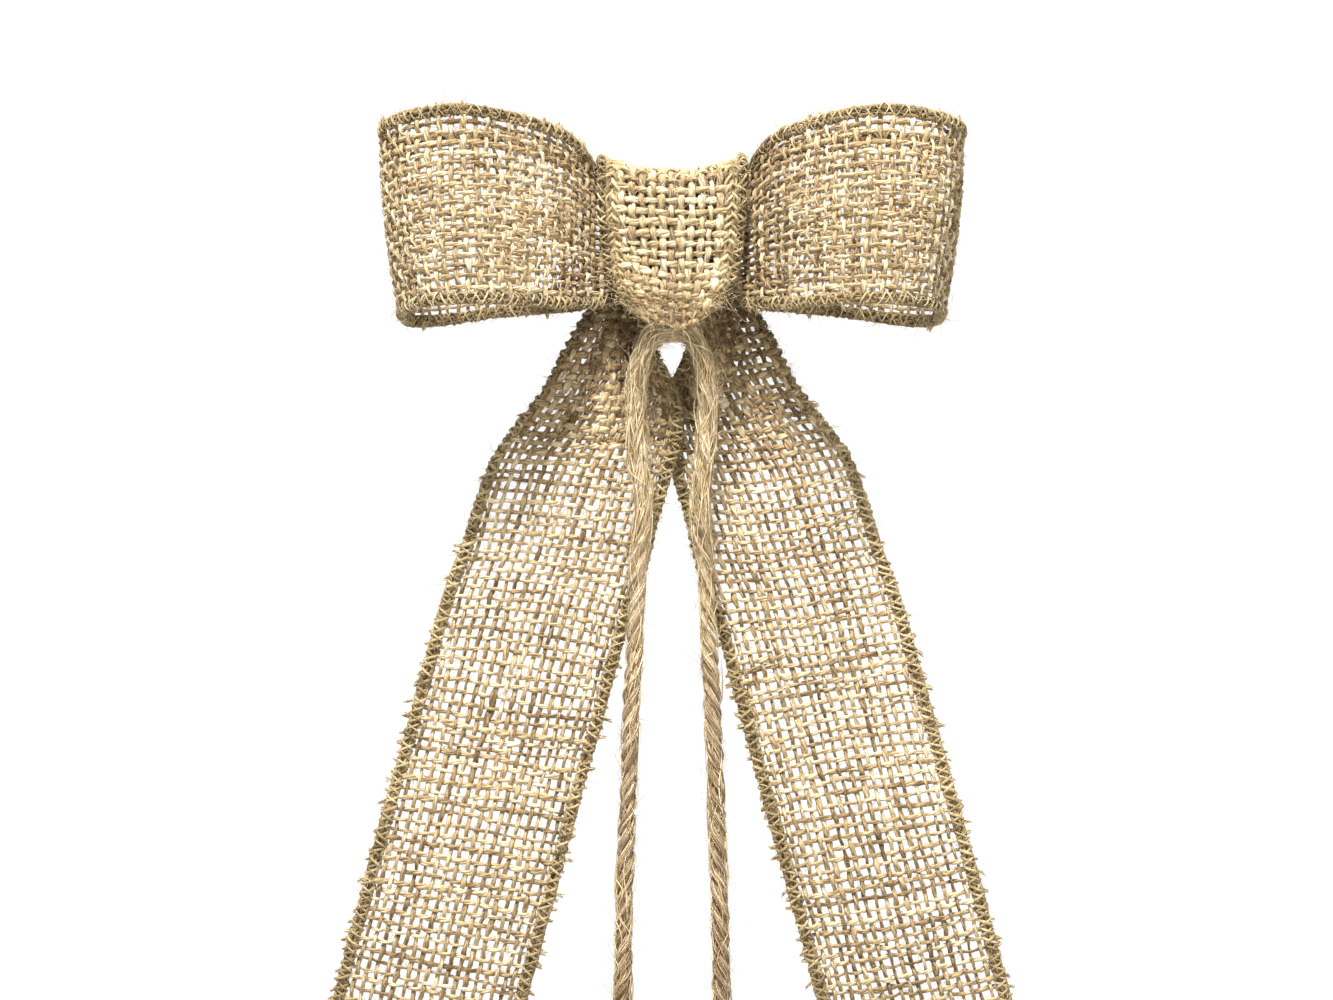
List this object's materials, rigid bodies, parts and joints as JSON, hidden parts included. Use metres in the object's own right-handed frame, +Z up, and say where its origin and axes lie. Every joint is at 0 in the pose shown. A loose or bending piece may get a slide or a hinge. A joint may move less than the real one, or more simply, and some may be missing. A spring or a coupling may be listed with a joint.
{
  "type": "ribbon bow",
  "caption": "Burlap ribbon bow with two loops, a centre wrap, two long fanned tails and hanging jute twine ends, pinned or wired on by the flat back of its centre.",
  "frame": {"origin": "centre of the flat back face of the centre wrap, where the bow is pinned or wired on", "axes": "+Z up, the bow faces -Y, +Y out of its back, +X across it to the right as seen from the front"},
  "size_m": [0.1848, 0.0407, 0.2531],
  "materials": {
    "burlap": "open plain weave of natural jute",
    "edging": "overlock stitching in olive brown yarn",
    "twine": "three-ply hairy jute twine",
    "thread": "sewing thread"
  },
  "bodies": {
    "bow": {"loop_ribbon": "burlap", "loop_top_edging": "edging", "loop_bottom_edging": "edging", "loop_lap_stitching": "thread", "centre_wrap": "burlap", "wrap_left_edging": "edging", "wrap_right_edging": "edging", "wrap_end_stitching": "thread", "twine_binding": "twine", "twine_knot": "twine", "twine_end_left": "twine", "twine_end_right": "twine"},
    "tail_left": {"tail_left": "burlap", "tail_left_outer_edging": "edging", "tail_left_inner_edging": "edging"},
    "tail_right": {"tail_right": "burlap", "tail_right_outer_edging": "edging", "tail_right_inner_edging": "edging"}
  },
  "joints": [
    {"name": "tail_left_fan", "type": "hinge", "parent": "bow", "child": "tail_left", "pos_m": [-0.0098, -0.0045, -0.008], "axis": [0, 1, 0], "range_deg": [-4, 12]},
    {"name": "tail_right_fan", "type": "hinge", "parent": "bow", "child": "tail_right", "pos_m": [0.0098, -0.0045, -0.008], "axis": [0, -1, 0], "range_deg": [-4, 12]}
  ]
}
